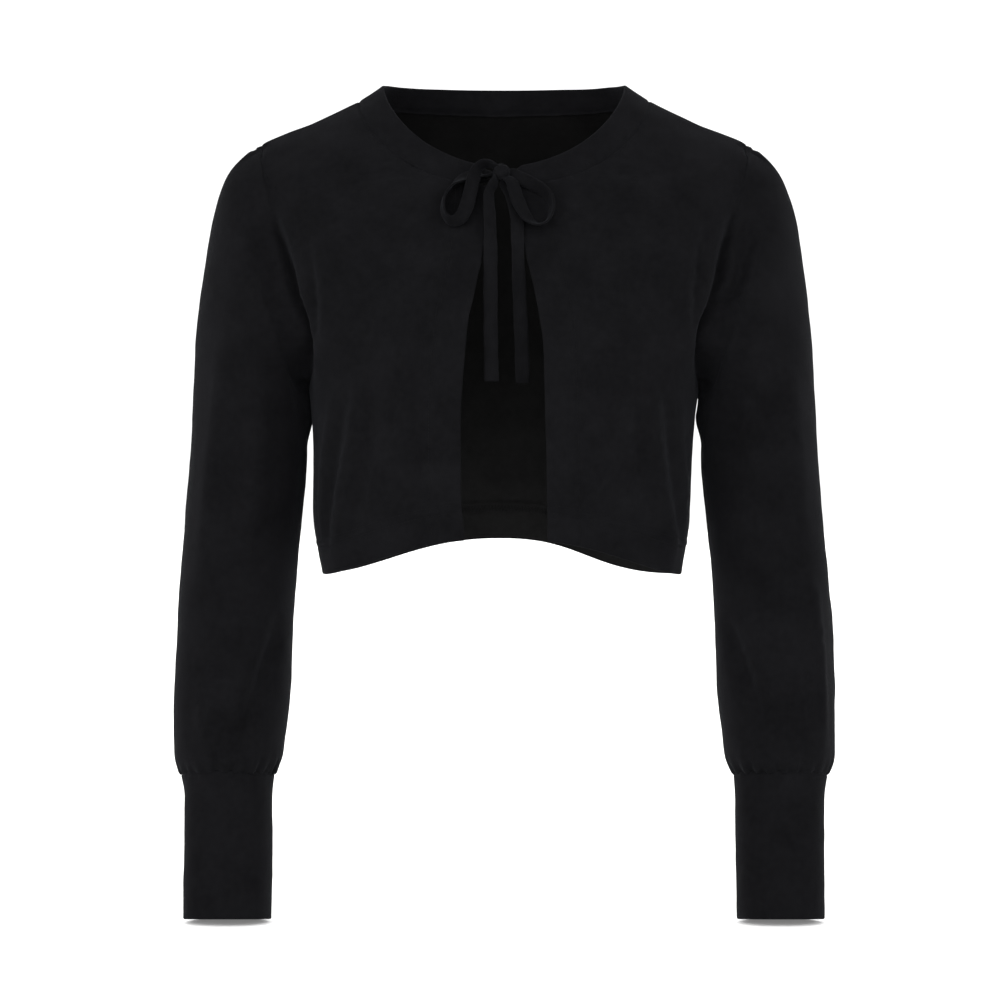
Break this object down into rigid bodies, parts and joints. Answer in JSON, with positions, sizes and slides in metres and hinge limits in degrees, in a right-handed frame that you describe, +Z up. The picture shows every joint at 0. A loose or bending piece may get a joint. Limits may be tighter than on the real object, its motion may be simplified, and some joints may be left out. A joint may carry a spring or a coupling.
{
  "type": "cardigan",
  "caption": "Cropped black jersey cardigan in its worn, hollow form: open fronts tied in a bow at the neckband, long slightly full sleeves, deep doubled cuffs.",
  "frame": {"origin": "middle of the neck opening, level with the neckband's highest points at the sides of the neck, where the wearer's shoulders carry the garment", "axes": "+X to the wearer's left, +Y out of the wearer's back (the fronts and the bow face -Y), +Z up"},
  "size_m": [0.511, 0.2269, 0.6529],
  "materials": {
    "black_jersey": "matt fine-gauge knit, a little bluish"
  },
  "bodies": {
    "root": {"back": "black_jersey", "front_right": "black_jersey", "front_left": "black_jersey", "sleeve_right": "black_jersey", "sleeve_left": "black_jersey", "cuff_right": "black_jersey", "cuff_left": "black_jersey", "neckband": "black_jersey", "tie_loop_right": "black_jersey", "tie_loop_left": "black_jersey", "tie_tail_right": "black_jersey", "tie_tail_left": "black_jersey", "tie_knot": "black_jersey"}
  },
  "joints": []
}
